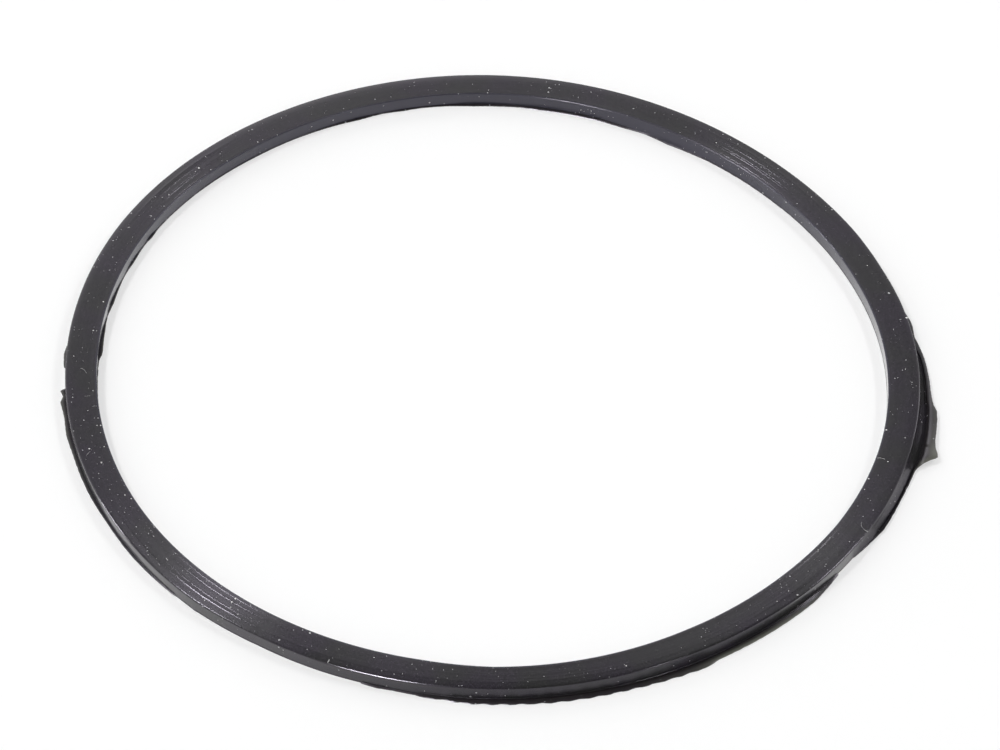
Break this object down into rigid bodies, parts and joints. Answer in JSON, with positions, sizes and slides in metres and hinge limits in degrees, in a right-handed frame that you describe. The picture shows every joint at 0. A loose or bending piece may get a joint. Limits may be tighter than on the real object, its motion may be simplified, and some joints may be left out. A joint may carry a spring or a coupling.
{
  "type": "gasket",
  "caption": "Flat rubber sealing ring of rectangular section with concentric turning marks on its upper face and untrimmed moulding flash round its lower edge.",
  "frame": {"origin": "the ring's centre on its axis, at half its thickness", "axes": "+Z along the ring's axis, out of the upper face with the turning marks; +X towards the side just ahead of the torn flash tail"},
  "size_m": [0.0911, 0.0901, 0.0016],
  "materials": {
    "black_rubber": "moulded black rubber with a soft sheen, finely turned on top, dusty"
  },
  "bodies": {
    "root": {"sealing_ring": "black_rubber"}
  },
  "joints": []
}
